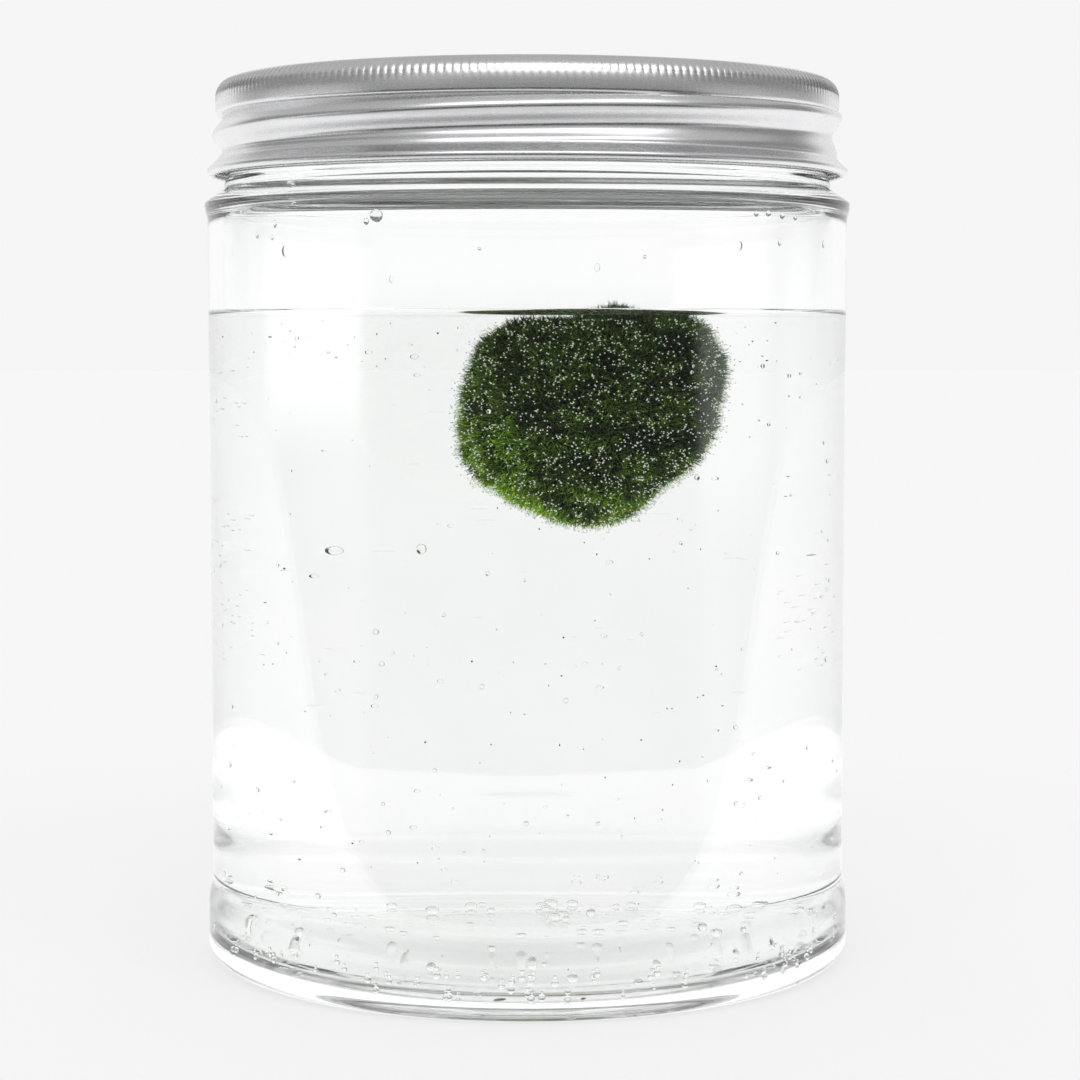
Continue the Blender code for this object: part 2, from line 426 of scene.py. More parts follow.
def colour(name, description, default):
    return FloatVectorProperty(
        name=name, description=description, default=default, size=3, min=0.0, max=1.0, subtype="COLOR"
    )


class JarSettings(PropertyGroup):
    wall: length("Wall", "Thickness of the jar's wall", 2.2 * MM)
    base: length("Base", "Thickness of the jar's base", 2.0 * MM)
    bend: FloatProperty(name="Index", description="Refractive index of the clear plastic", default=1.46)


class LidSettings(PropertyGroup):
    sheet: length("Sheet", "Thickness of the lid's sheet", 0.3 * MM)
    metal: colour("Metal", "Colour of the aluminium", (0.80, 0.80, 0.81))
    satin: FloatProperty(name="Satin", description="Roughness of the lid", default=0.27, subtype="FACTOR")


class WaterSettings(PropertyGroup):
    climb: length("Climb", "How far the water climbs the wall", 0.85 * MM)
    reach: length("Reach", "How far from the wall the climb dies away", 2.0 * MM)
    tint: colour("Tint", "Faint colour of the water", (0.985, 0.995, 0.985))
    bend: FloatProperty(name="Index", description="Refractive index of the water", default=1.333)


class MossSettings(PropertyGroup):
    fuzz: length("Fuzz", "Length of an ordinary filament", 1.25 * MM)
    thick: length("Thickness", "Thickness of a filament at its root", 0.14 * MM)
    depth: length("Depth", "Depth of the core below the tips", 1.75 * MM)
    count: IntProperty(name="Filaments", description="Filaments in each of the coats", default=18500)
    pearl: length("Pearl", "Radius of the largest bubbles caught in the moss", 0.105 * MM)
    pearls: IntProperty(name="Pearls", description="Bubbles caught in the moss", default=5200)
    # Painted shade: this colour between the filaments and at their roots stands for the shade there.
    deep_shade: colour("Deep", "Colour between the filaments", (0.005, 0.014, 0.003))
    mid: colour("Middle", "Colour halfway up a filament", (0.13, 0.34, 0.030))
    tip: colour("Tip", "Colour of the filaments' tips", (0.58, 0.90, 0.13))


class DetailSettings(PropertyGroup):
    bubbles: IntProperty(name="Bubbles", description="Bubbles on the wall and the floor", default=260)
    specks: IntProperty(name="Specks", description="Specks of moss on the wall", default=420)
    speck: colour("Speck", "Colour of the specks", (0.10, 0.13, 0.08))


class StageSettings(PropertyGroup):
    floor: colour("Floor", "Colour of the floor", (0.30, 0.30, 0.30))
    glow: FloatProperty(name="Glow", description="Light that the floor gives off by itself", default=0.72)
    room: FloatProperty(name="Room", description="Brightness of the room behind the jar", default=0.921)
    behind: FloatProperty(name="Behind", description="Brightness seen through the jar", default=1.06)
    light: FloatProperty(name="Light", description="Strength of the studio's light", default=1.0)


class MossJarSettings(PropertyGroup):
    jar: PointerProperty(type=JarSettings)
    lid: PointerProperty(type=LidSettings)
    water: PointerProperty(type=WaterSettings)
    moss: PointerProperty(type=MossSettings)
    detail: PointerProperty(type=DetailSettings)
    stage: PointerProperty(type=StageSettings)


# ---------------------------------------------------------------- stage

CAMERA_HEIGHT = 91.1 * MM
CAMERA_DISTANCE = 402.8 * MM
CAMERA_PITCH = math.radians(4.354)
CAMERA_YAW = math.radians(0.259)
CAMERA_LENS = 92.2  # millimetres, on a sensor 36 mm wide
FLOOR_RADIUS = 3.0
FLOOR_BACK = 2.91  # the floor's middle lies this far behind the jar

CLEAR_BOUNCES = 28  # enough for the light that goes through both walls and the water's edge
MIRROR_BOUNCES = 10

BASE_LIGHT = 0.52  # brightness of the studio where it has no card

# Cards of the studio: azimuth from the front towards +X and its half width, in degrees; sine of the lowest
# and of the highest elevation; softness across, in radians; softness of the sines; brightness.
CARDS = (
    (0, 200, -1.2, -0.06, 0.03, 0.03, 0.34),
    (180, 78, -1.2, 0.50, 0.12, 0.12, 0.97),
    (-180, 78, -1.2, 0.50, 0.12, 0.12, 0.97),
    (-92, 38, 0.03, 0.50, 0.15, 0.06, 0.30),
    (96, 38, 0.03, 0.50, 0.15, 0.06, 0.27),
    (22, 43, 0.02, 0.36, 0.05, 0.03, 0.42),
    (3, 62, -0.42, 0.012, 0.10, 0.012, 0.06),
    (80, 16, -0.06, 0.05, 0.05, 0.03, 0.85),
    (-84, 22, -0.03, 0.03, 0.05, 0.02, 1.7),
    (8, 50, 0.52, 0.80, 0.06, 0.06, 2.3),
    (0, 200, -1.2, -0.45, 0.03, 0.05, 0.80),
)


class MOSSJAR_OT_stage(Operator):
    """Make the floor, the studio's light and the camera"""

    bl_idname = "mossjar.stage"
    bl_label = "Stage"

    def execute(self, context):
        settings = context.scene.moss_jar.stage
        self.make_floor(context, settings)
        self.make_world(context, settings)
        self.make_camera(context)
        context.scene.view_settings.view_transform = "Standard"
        cycles = context.scene.cycles
        cycles.max_bounces = CLEAR_BOUNCES
        cycles.transmission_bounces = CLEAR_BOUNCES
        cycles.glossy_bounces = MIRROR_BOUNCES
        return {"FINISHED"}

    def make_floor(self, context, settings):
        bm = bmesh.new()
        bmesh.ops.create_circle(
            bm, cap_ends=True, segments=96, radius=FLOOR_RADIUS, matrix=Matrix.Translation((0, FLOOR_BACK, 0))
        )
        mesh = bpy.data.meshes.new("floor")
        bm.to_mesh(mesh)
        bm.free()
        look = Look("floor_paper", Roughness=0.9)
        shade = tuple(settings.floor)
        paler = tuple(1.004 * c for c in shade)
        look.to("Base Color", look.ramp(look.grain(30.0), [(0.3, shade), (0.7, paler)]))
        look.set("Specular IOR Level", 0.0)
        look.set("Emission Color", (1.0, 1.0, 1.0))
        brighter = look.node("ShaderNodeMapRange")
        look.feed(look.node("ShaderNodeLightPath").outputs["Is Camera Ray"], brighter, "Value")
        brighter.inputs["To Min"].default_value = settings.glow + settings.behind - settings.room
        brighter.inputs["To Max"].default_value = settings.glow
        look.to("Emission Strength", brighter.outputs["Result"])
        mesh.materials.append(look.material)
        floor = bpy.data.objects.new("floor", mesh)
        context.scene.collection.objects.link(floor)

    def make_world(self, context, settings):
        """An even pale room. What is lit or mirrored sees the studio's cards in it as well."""
        world = bpy.data.worlds.new("studio")
        context.scene.world = world
        world.use_nodes = True
        world.cycles.sampling_method = "NONE"
        tree = world.node_tree
        background = tree.nodes["Background"]
        self.tree = tree
        towards = tree.nodes.new("ShaderNodeSeparateXYZ")
        place = tree.nodes.new("ShaderNodeTexCoord")
        tree.links.new(place.outputs["Generated"], towards.inputs[0])
        back = self.maths("MULTIPLY", towards.outputs["Y"], -1.0)
        azimuth = self.maths("ARCTAN2", towards.outputs["X"], back)
        brightness = BASE_LIGHT * settings.light
        for middle, half, low, high, soft_across, soft_up, level in CARDS:
            offset = self.maths("SUBTRACT", azimuth, math.radians(middle))
            across = self.edge(self.maths("ABSOLUTE", offset, 0.0), math.radians(half), -soft_across)
            over = self.edge(towards.outputs["Z"], low, soft_up)
            under = self.edge(towards.outputs["Z"], high, -soft_up)
            card = self.maths("MULTIPLY", self.maths("MULTIPLY", across, over), under)
            brightness = self.mix(card, brightness, level * settings.light)
        path = tree.nodes.new("ShaderNodeLightPath")
        turned_back = self.maths("ADD", path.outputs["Diffuse Depth"], path.outputs["Glossy Depth"])
        studio = self.maths("GREATER_THAN", turned_back, 0.5)
        room = self.mix(path.outputs["Is Camera Ray"], settings.behind, settings.room)
        tree.links.new(self.mix(studio, room, brightness), background.inputs["Color"])

    def maths(self, operation, first, second):
        made = self.tree.nodes.new("ShaderNodeMath")
        made.operation = operation
        for socket, value in zip(made.inputs, (first, second)):
            if isinstance(value, bpy.types.NodeSocket):
                self.tree.links.new(value, socket)
            else:
                socket.default_value = value
        return made.outputs[0]

    def edge(self, value, place, soft):
        """0 before the place and 1 after it, or the other way round if soft is negative."""
        made = self.tree.nodes.new("ShaderNodeMapRange")
        made.interpolation_type = "SMOOTHSTEP"
        self.tree.links.new(value, made.inputs["Value"])
        made.inputs["From Min"].default_value = place - abs(soft)
        made.inputs["From Max"].default_value = place + abs(soft)
        made.inputs["To Min"].default_value = 0.0 if soft > 0 else 1.0
        made.inputs["To Max"].default_value = 1.0 if soft > 0 else 0.0
        return made.outputs["Result"]

    def mix(self, factor, first, second):
        made = self.tree.nodes.new("ShaderNodeMix")
        for socket, value in zip(made.inputs, (factor, None, first, second)):
            if isinstance(value, bpy.types.NodeSocket):
                self.tree.links.new(value, socket)
            elif value is not None:
                socket.default_value = value
        return made.outputs[0]

    def make_camera(self, context):
        camera = bpy.data.cameras.new("camera")
        camera.lens = CAMERA_LENS
        camera.sensor_width = 36.0
        camera.clip_start = 0.01
        eye = bpy.data.objects.new("camera", camera)
        eye.location = (0.0, -CAMERA_DISTANCE, CAMERA_HEIGHT)
        eye.rotation_euler = (math.pi / 2 - CAMERA_PITCH, 0.0, -CAMERA_YAW)
        context.scene.collection.objects.link(eye)
        context.scene.camera = eye


# ---------------------------------------------------------------- jar and lid


def floor_profile(radius, height):
    """The inside of the base from the wall inwards: corner, channel, ramp and crown."""
    edge = radius - FLOOR_CORNER - CHANNEL_WIDTH
    crown = edge - HUMP_RAMP
    corner = arc((radius - FLOOR_CORNER, height + FLOOR_CORNER), (FLOOR_CORNER, FLOOR_CORNER), 0, -90, 8)
    points = corner
    for i in range(7):
        share = i / 6
        points.append((edge - HUMP_RAMP * share, height + HUMP_RISE * smooth_step(share)))
    for i in range(1, 11):
        share = 1 - i / 10
        points.append((crown * share, height + HUMP_RISE + HUMP_CROWN * (1 - share * share)))
    return points


def ridge_height(x, y, z):
    """How far the moulded thread stands out from the neck at a point."""
    angle = math.atan2(y, x)
    height = 0.0
    for turn in range(3):
        along = angle + turn * math.tau
        ends = smooth_step((along - RIDGE_START) / RIDGE_FADE) * smooth_step((RIDGE_END - along) / RIDGE_FADE)
        off = abs(z - groove_height(along) - RIDGE_OVER_GROOVE) / RIDGE_HALF
        if off < 1:
            height = max(height, RIDGE_HEIGHT * ends * smooth_step(1.6 * (1 - off)))
    return height


class MOSSJAR_OT_jar(Operator):
    """Make the clear jar with its guard rings, pushed-up base and threaded neck"""

    bl_idname = "mossjar.jar"
    bl_label = "Jar"

    def execute(self, context):
        settings = context.scene.moss_jar.jar
        inner = BODY_RADIUS - settings.wall
        floor = floor_profile(inner, settings.base)
        underside = [(r, z - settings.base) for r, z in reversed(floor[9:])]
        heel = arc((FOOT_RADIUS - HEEL_RADIUS, HEEL_RADIUS), (HEEL_RADIUS, HEEL_RADIUS), -90, 0, 10)
        foot_ring = ease((FOOT_RADIUS, FOOT_RING_TOP - RING_STEP), (BODY_RADIUS, FOOT_RING_TOP), 6)
        top_ring = ease((BODY_RADIUS, SHOULDER_RING_BOTTOM), (SHOULDER_RADIUS, SHOULDER_EDGE - 0.3 * MM), 8)
        round_middle = (SHOULDER_RADIUS - SHOULDER_ROUND, SHOULDER_EDGE - 0.05 * MM)
        shoulder = arc(round_middle, (SHOULDER_ROUND, SHOULDER_ROUND), 0, 52, 6)
        fillet_middle = (COLLAR_RADIUS + COLLAR_FILLET, SHOULDER_TOP + 0.3 * MM)
        fillet = arc(fillet_middle, (COLLAR_FILLET, COLLAR_FILLET), -128, -180, 6)
        collar = ease((COLLAR_RADIUS, SHOULDER_TOP + 0.7 * MM), (NECK_RADIUS, COLLAR_TOP + 0.5 * MM), 6)
        start, end = COLLAR_TOP + 0.8 * MM, RIM_TOP - 1.0 * MM
        neck = [(NECK_RADIUS, start + (end - start) * i / NECK_ROWS) for i in range(NECK_ROWS + 1)]
        rim = arc((NECK_RADIUS - RIM_ROUND, RIM_TOP - RIM_ROUND), (RIM_ROUND, RIM_ROUND), 0, 90, 4)
        rim += arc((BORE_RADIUS + RIM_ROUND, RIM_TOP - RIM_ROUND), (RIM_ROUND, RIM_ROUND), 90, 180, 4)
        bore = ease((BORE_RADIUS, SHOULDER_TOP - 0.2 * MM), (inner, SHOULDER_EDGE - 0.8 * MM), 12)
        outside = heel + foot_ring + top_ring + shoulder + fillet + collar + neck
        profile = underside + outside + rim + bore + floor
        bm = turned(profile, JAR_SIDES)
        for vert in bm.verts:
            x, y, z = vert.co
            if start - 0.1 * MM < z < end + 0.1 * MM and math.hypot(x, y) > NECK_RADIUS - 0.1 * MM:
                grow = 1 + ridge_height(x, y, z) / NECK_RADIUS
                vert.co = (x * grow, y * grow, z)
        piece("jar_clear", bm, clear_plastic_look(settings), "jar", "jar")
        return {"FINISHED"}


def skirt_radius(x, y, z):
    """Radius of the lid's skirt where the pressed thread waves it in and out."""
    angle = math.atan2(y, x)
    groove = 0.0
    crest = 0.0
    for turn in range(-1, 4):
        along = angle + turn * math.tau
        ends = smooth_step((along - GROOVE_START) / GROOVE_FADE_IN)
        ends *= smooth_step((GROOVE_END - along) / GROOVE_FADE_OUT)
        above = z - groove_height(along)
        groove = max(groove, ends * (1 - smooth_step(abs(above) / (LEAD / 2))))
        crest = max(crest, ends * (1 - smooth_step(abs(above - LEAD / 2) / (LEAD / 2))))
    return SKIRT_RADIUS + GROOVE_SWING * (crest - groove)


class MOSSJAR_OT_lid(Operator):
    """Make the lid of rolled sheet with its knurled edge, pressed thread and hem"""

    bl_idname = "mossjar.lid"
    bl_label = "Lid"

    def execute(self, context):
        settings = context.scene.moss_jar.lid
        top = LID_HIGH[2]
        sunk = top - PANEL_SUNK
        panel = [(0.0, sunk), (20 * MM, sunk), (37.6 * MM, sunk)]
        panel += [(38.4 * MM, top - 0.25 * MM), (39.2 * MM, top - 0.03 * MM), (40.0 * MM, top)]
        corner = arc((BAND_RADIUS - CORNER_WIDE, top - CORNER_TALL), (CORNER_WIDE, CORNER_TALL), 90, 0, 12)
        band = [(BAND_RADIUS, top - 3.4 * MM), (BAND_RADIUS - 0.02 * MM, BAND_BOTTOM + 0.6 * MM)]
        band += [(BAND_RADIUS - 0.03 * MM, BAND_BOTTOM + 0.35 * MM)]
        step = [(BAND_RADIUS - 0.15 * MM, BAND_BOTTOM + 0.1 * MM)]
        drop = (BAND_BOTTOM - SKIRT_BOTTOM) / SKIRT_ROWS
        skirt = [(SKIRT_RADIUS, BAND_BOTTOM - drop * i) for i in range(SKIRT_ROWS + 1)]
        hem_centre = (HEM_OUTSIDE - HEM_RADIUS, LID_LOW[2] + HEM_RADIUS)
        flare = [(SKIRT_RADIUS + 0.35 * MM, SKIRT_BOTTOM - 0.25 * MM)]
        hem = arc(hem_centre, (HEM_RADIUS, HEM_RADIUS), 75, -120, 10)
        bm = turned([*panel, *corner, *band, *step, *skirt, *flare, *hem], LID_SIDES)
        for vert in bm.verts:
            x, y, z = vert.co
            r = math.hypot(x, y)
            if r < FLUTES_INSIDE:
                continue
            if FLUTE_BOTTOM < z < FLUTE_TOP:
                angle = math.atan2(y, x)
                share = (z - FLUTE_BOTTOM) / (FLUTE_TOP - FLUTE_BOTTOM)
                ends = smooth_step(5 * share) * smooth_step(5 * (1 - share))
                wave = 0.5 - 0.5 * math.cos(FLUTES * angle)
                grow = 1 - FLUTE_DEPTH * ends * wave / r
            elif SKIRT_BOTTOM - 0.01 * MM < z < BAND_BOTTOM + 0.01 * MM:
                edge = smooth_step((z - SKIRT_BOTTOM) / (1.2 * MM))
                grow = 1 + edge * (skirt_radius(x, y, z) - SKIRT_RADIUS) / SKIRT_RADIUS
            else:
                continue
            vert.co = (x * grow, y * grow, z)
        bmesh.ops.recalc_face_normals(bm, faces=bm.faces)
        lid = piece("lid_shell", bm, aluminium_look(settings), "lid", "lid", sharp_degrees=60)
        sheet = lid.modifiers.new("sheet", "SOLIDIFY")
        sheet.thickness = settings.sheet
        sheet.offset = -1.0
        return {"FINISHED"}


class MOSSJAR_OT_liner(Operator):
    """Finish the foam liner under the lid"""

    bl_idname = "mossjar.liner"
    bl_label = "Liner"

    def execute(self, context):
        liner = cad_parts["liner"]
        liner.material_slots[0].material = foam_look()
        return {"FINISHED"}


# ---------------------------------------------------------------- water


class MOSSJAR_OT_water(Operator):
    """Make the water, which climbs a little at the wall and round the moss ball"""

    bl_idname = "mossjar.water"
    bl_label = "Water"

    def execute(self, context):
        settings = context.scene.moss_jar.water
        jar = context.scene.moss_jar.jar
        radius = BODY_RADIUS - jar.wall + WATER_LAP
        surface = []
        for i in range(WATER_RINGS + 1):
            share = i / WATER_RINGS
            r = radius * (share * 0.6 + 0.4 * math.sin(share * math.pi / 2))
            rise = settings.climb * math.exp((r - radius) / settings.reach)
            surface.append((r, WATER_LEVEL + rise))
        bottom = floor_profile(radius, jar.base - WATER_LAP)
        bm = turned(surface + bottom, JAR_SIDES)
        middle = Vector((BALL_CENTRE.x, BALL_CENTRE.y))
        for vert in bm.verts:
            x, y, z = vert.co
            if z > WATER_LEVEL - 1.0 * MM and math.hypot(x, y) < radius - 0.5 * MM:
                away = abs((Vector((x, y)) - middle).length - WATERLINE_RADIUS)
                vert.co.z += 0.6 * settings.climb * math.exp(-away / settings.reach)
        piece("water_body", bm, water_look(settings), "jar", "water", sharp_degrees=60)
        return {"FINISHED"}


# ---------------------------------------------------------------- moss ball


# Where the skin stands out further than the frame's ball or less far: direction, rise and how narrow it is.
SWELLS = (
    (Vector((-1.0, 0.0, 0.05)), 0.75 * MM, 3.0),
    (Vector((-0.75, 0.0, 0.66)), -1.1 * MM, 8.0),
    (Vector((0.75, 0.0, 0.66)), -0.6 * MM, 8.0),
    (Vector((0.1, 0.0, -1.0)), 0.5 * MM, 9.0),
    (Vector((0.0, 0.0, 1.0)), -0.85 * MM, 12.0),
)


def swell(place):
    """How much further than the frame's ball the skin stands out at a place."""
    away = (place - BALL_CENTRE).normalized()
    return sum(rise * math.exp(narrow * (away.dot(towards) - 1)) for towards, rise, narrow in SWELLS)


def moss_surface(inset):
    """A lumpy skin that follows the frame's moss ball at a depth below its filament tips."""
    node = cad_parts["moss_ball"]
    bm = bmesh.new()
    bm.from_mesh(node.data)
    bmesh.ops.remove_doubles(bm, verts=bm.verts, dist=0.001 * MM)
    bmesh.ops.recalc_face_normals(bm, faces=bm.faces)
    bmesh.ops.subdivide_edges(bm, edges=bm.edges, cuts=1, smooth=1.0, use_grid_fill=True)
    bmesh.ops.triangulate(bm, faces=bm.faces)
    bmesh.ops.subdivide_edges(bm, edges=bm.edges, cuts=3, smooth=1.0, use_grid_fill=True)
    bmesh.ops.smooth_vert(bm, verts=bm.verts, factor=0.5, use_axis_x=True, use_axis_y=True, use_axis_z=True)
    bm.normal_update()
    moves = []
    for vert in bm.verts:
        place = vert.co / MM
        lumps = 0.75 * noise.noise(place * 0.33) + 0.5 * noise.noise(place * 0.75 + Vector((7, 3, 1)))
        tufts = 0.32 * abs(noise.noise(place * 1.9)) + 0.16 * noise.noise(place * 4.2)
        rise = (lumps + tufts) * MM + swell(vert.co) - inset
        moves.append(vert.co + vert.normal * rise)
    for vert, place in zip(bm.verts, moves):
        vert.co = place
    return bm


def filament_template(name, thick, tall, lean):
    """One tapered filament of ten triangles that rises from the origin and leans over."""
    bm = bmesh.new()
    along = bm.verts.layers.float.new("along")
    bmesh.ops.create_circle(bm, cap_ends=True, segments=3, radius=thick / 2)
    top = bm.faces[:]
    for share in (0.5, 1.0):
        made = bmesh.ops.extrude_face_region(bm, geom=top)["geom"]
        verts = [g for g in made if isinstance(g, bmesh.types.BMVert)]
        if share == 1.0:
            bmesh.ops.delete(bm, geom=top, context="FACES_ONLY")
        top = [g for g in made if isinstance(g, bmesh.types.BMFace)]
        bmesh.ops.translate(bm, verts=verts, vec=(lean * share, 0.3 * lean * (1 - share), tall / 2))
        for vert in verts:
            vert[along] = share
    bmesh.ops.pointmerge(bm, verts=verts, merge_co=sum((v.co for v in verts), Vector()) / 3)
    bmesh.ops.recalc_face_normals(bm, faces=bm.faces)
    mesh = bpy.data.meshes.new(name)
    bm.to_mesh(mesh)
    bm.free()
    mesh.shade_smooth()
    return bpy.data.objects.new(name, mesh)


def bead_template(name, size, tall):
    """A small round bead that stands off the origin."""
    bm = bmesh.new()
    bmesh.ops.create_icosphere(bm, subdivisions=1, radius=size, matrix=Matrix.Translation((0, 0, tall)))
    mesh = bpy.data.meshes.new(name)
    bm.to_mesh(mesh)
    bm.free()
    mesh.shade_smooth()
    return bpy.data.objects.new(name, mesh)


def scatter(name, ground, template, look, count, seed, tilt, sizes):
    """A mesh of the template scattered over the ground, with a random shade for each copy."""
    tree = bpy.data.node_groups.new(name, "GeometryNodeTree")
    tree.interface.new_socket("Geometry", in_out="INPUT", socket_type="NodeSocketGeometry")
    tree.interface.new_socket("Geometry", in_out="OUTPUT", socket_type="NodeSocketGeometry")
    nodes, links = tree.nodes, tree.links
    start = nodes.new("NodeGroupInput")
    end = nodes.new("NodeGroupOutput")
    points = nodes.new("GeometryNodeDistributePointsOnFaces")
    area = sum(polygon.area for polygon in ground.data.polygons)
    points.inputs["Density"].default_value = count / area
    points.inputs["Seed"].default_value = seed
    links.new(start.outputs[0], points.inputs["Mesh"])
    turn = nodes.new("FunctionNodeRandomValue")
    turn.data_type = "FLOAT_VECTOR"
    turn.inputs["Min"].default_value = (-tilt, -tilt, -math.pi)
    turn.inputs["Max"].default_value = (tilt, tilt, math.pi)
    turn.inputs["Seed"].default_value = seed + 1
    angles = nodes.new("FunctionNodeEulerToRotation")
    links.new(turn.outputs["Value"], angles.inputs[0])
    rotate = nodes.new("FunctionNodeRotateRotation")
    rotate.rotation_space = "LOCAL"
    links.new(points.outputs["Rotation"], rotate.inputs["Rotation"])
    links.new(angles.outputs[0], rotate.inputs["Rotate By"])
    size = nodes.new("FunctionNodeRandomValue")
    size.data_type = "FLOAT"
    size.inputs[2].default_value, size.inputs[3].default_value = sizes
    size.inputs["Seed"].default_value = seed + 2
    pattern = nodes.new("GeometryNodeObjectInfo")
    pattern.inputs["Object"].default_value = template
    place = nodes.new("GeometryNodeInstanceOnPoints")
    links.new(points.outputs["Points"], place.inputs["Points"])
    links.new(pattern.outputs["Geometry"], place.inputs["Instance"])
    links.new(rotate.outputs[0], place.inputs["Rotation"])
    links.new(size.outputs[1], place.inputs["Scale"])
    shade = nodes.new("FunctionNodeRandomValue")
    shade.data_type = "FLOAT"
    shade.inputs["Seed"].default_value = seed + 3
    store = nodes.new("GeometryNodeStoreNamedAttribute")
    store.data_type = "FLOAT"
    store.domain = "INSTANCE"
    store.inputs["Name"].default_value = "shade"
    links.new(place.outputs["Instances"], store.inputs["Geometry"])
    links.new(shade.outputs[1], store.inputs["Value"])
    realize = nodes.new("GeometryNodeRealizeInstances")
    links.new(store.outputs["Geometry"], realize.inputs["Geometry"])
    links.new(realize.outputs["Geometry"], end.inputs[0])

    bpy.context.scene.collection.objects.link(template)
    copy = bpy.data.objects.new(name + "_ground", ground.data)
    bpy.context.scene.collection.objects.link(copy)
    modifier = copy.modifiers.new("scatter", "NODES")
    modifier.node_group = tree
    evaluated = copy.evaluated_get(bpy.context.evaluated_depsgraph_get())
    mesh = bpy.data.meshes.new_from_object(evaluated)
    mesh.name = name
    mesh.materials.clear()
    mesh.materials.append(look)
    bpy.data.objects.remove(copy)
    bpy.data.objects.remove(template)
    made = bpy.data.objects.new(name, mesh)
    bpy.context.scene.collection.objects.link(made)
    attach(made, "jar")
    return made


# Coats of filaments: name, length and thickness as shares of the ordinary ones, lean as a share of the
# length, tilt in degrees, smallest and largest size, share of the ordinary number, seed.
COATS = (
    ("moss_undercoat", 0.75, 1.2, 0.6, 60, 0.6, 1.2, 1.0, 11),
    ("moss_coat", 0.95, 1.0, 0.45, 52, 0.6, 1.2, 1.0, 23),
    ("moss_topcoat", 1.05, 0.85, 0.35, 45, 0.6, 1.25, 1.0, 37),
    ("moss_hairs", 1.35, 0.5, 0.3, 40, 0.5, 1.2, 0.3, 51),
)


PEARL_VERTS = 12  # corners of one pearl
PEARL_STAND = 1.4  # how far a pearl stands off the core, as a share of an ordinary filament
PEARL_TILT = 20  # degrees
PEARL_SIZES = (0.75, 1.15)
PEARL_SEED = 71
PEARL_DEPTH = 0.3 * MM  # no pearl reaches closer to the surface than this


class MOSSJAR_OT_moss_ball(Operator):
    """Make the moss ball: a lumpy core under coats of filaments, with small bubbles caught in them"""

    bl_idname = "mossjar.moss_ball"
    bl_label = "Moss Ball"

    def execute(self, context):
        settings = context.scene.moss_jar.moss
        core = piece(
            "moss_core", moss_surface(settings.depth), moss_core_look(settings), "jar", "moss_ball"
        )
        look = filament_look(settings)
        for name, tall, thick, lean, tilt, low, high, share, seed in COATS:
            height = settings.fuzz * tall
            template = filament_template(name + "_one", settings.thick * thick, height, lean * height)
            coat = scatter(
                name, core, template, look, settings.count * share, seed, math.radians(tilt), (low, high)
            )
        pearls = bead_template("moss_pearl_one", settings.pearl, PEARL_STAND * settings.fuzz)
        tilt = math.radians(PEARL_TILT)
        caught = scatter(
            "moss_pearls", core, pearls, glinting_pearl_look(), settings.pearls, PEARL_SEED, tilt, PEARL_SIZES
        )
        self.clear_above_water(caught.data)
        return {"FINISHED"}

    def clear_above_water(self, mesh):
        """Gas is only caught under water, so the pearls above it go."""
        bm = bmesh.new()
        bm.from_mesh(mesh)
        bm.verts.ensure_lookup_table()
        dry = []
        for start in range(0, len(bm.verts), PEARL_VERTS):
            pearl = bm.verts[start:start + PEARL_VERTS]
            if max(vert.co.z for vert in pearl) > WATER_LEVEL - PEARL_DEPTH:
                dry += pearl
        bmesh.ops.delete(bm, geom=dry, context="VERTS")
        bm.to_mesh(mesh)
        bm.free()


# ---------------------------------------------------------------- bubbles, droplets and specks


def on_wall(angle, z, radius, stand_off=0.0):
    """A point inside the jar at an angle in radians from the front, towards +X."""
    r = radius - stand_off
    return Vector((r * math.sin(angle), -r * math.cos(angle), z))


def bead(bm, place, size, subdivisions=2, stretch=(1.0, 1.0, 1.0), turn=0.0):
    """Adds a round bead to the bmesh, stretched along its own axes and turned about Z."""
    matrix = Matrix.Translation(place) @ Matrix.Rotation(turn, 4, "Z") @ Matrix.Diagonal((*stretch, 1.0))
    bmesh.ops.create_icosphere(bm, subdivisions=subdivisions, radius=size, matrix=matrix)


def floor_height(r, jar):
    """Height of the jar's inner floor at a radius."""
    inner = BODY_RADIUS - jar.wall
    edge = inner - FLOOR_CORNER - CHANNEL_WIDTH
    crown = edge - HUMP_RAMP
    if r > edge:
        return jar.base
    if r > crown:
        return jar.base + HUMP_RISE * smooth_step((edge - r) / HUMP_RAMP)
    return jar.base + HUMP_RISE + HUMP_CROWN * (1 - (r / crown) ** 2)


# Patches of larger bubbles on the wall: azimuth from the front and half width in degrees, lowest and highest
# bubble in millimetres, pairs of bubbles.
BUBBLE_PATCHES = (
    (0, 42, 2.7, 6.5, 40),
    (53, 9, 2.8, 7.5, 8),
    (-56, 10, 2.8, 6.0, 5),
    (180, 130, 2.7, 6.5, 30),
)


# Patches of faint level streaks in the wall: azimuth from the front and half width in degrees, lowest and
# highest streak in millimetres, number of streaks.
STREAK_PATCHES = (
    (-65, 13, 76, 87, 16),
    (-65, 13, 44, 67, 40),
    (62, 14, 44, 59, 34),
    (165, 60, 30, 80, 40),
)


BUBBLE_GAP = 0.02 * MM  # between a bubble and the wall
STREAK_THICK = 0.09 * MM
SPECK_GAP = 0.03 * MM


def corner_inset(z, jar):
    """How far the rounded corner at the foot of the wall stands in from the wall at a height."""
    below = max(jar.base + FLOOR_CORNER - z, 0.0)
    return FLOOR_CORNER - math.sqrt(max(FLOOR_CORNER ** 2 - below ** 2, 0.0))


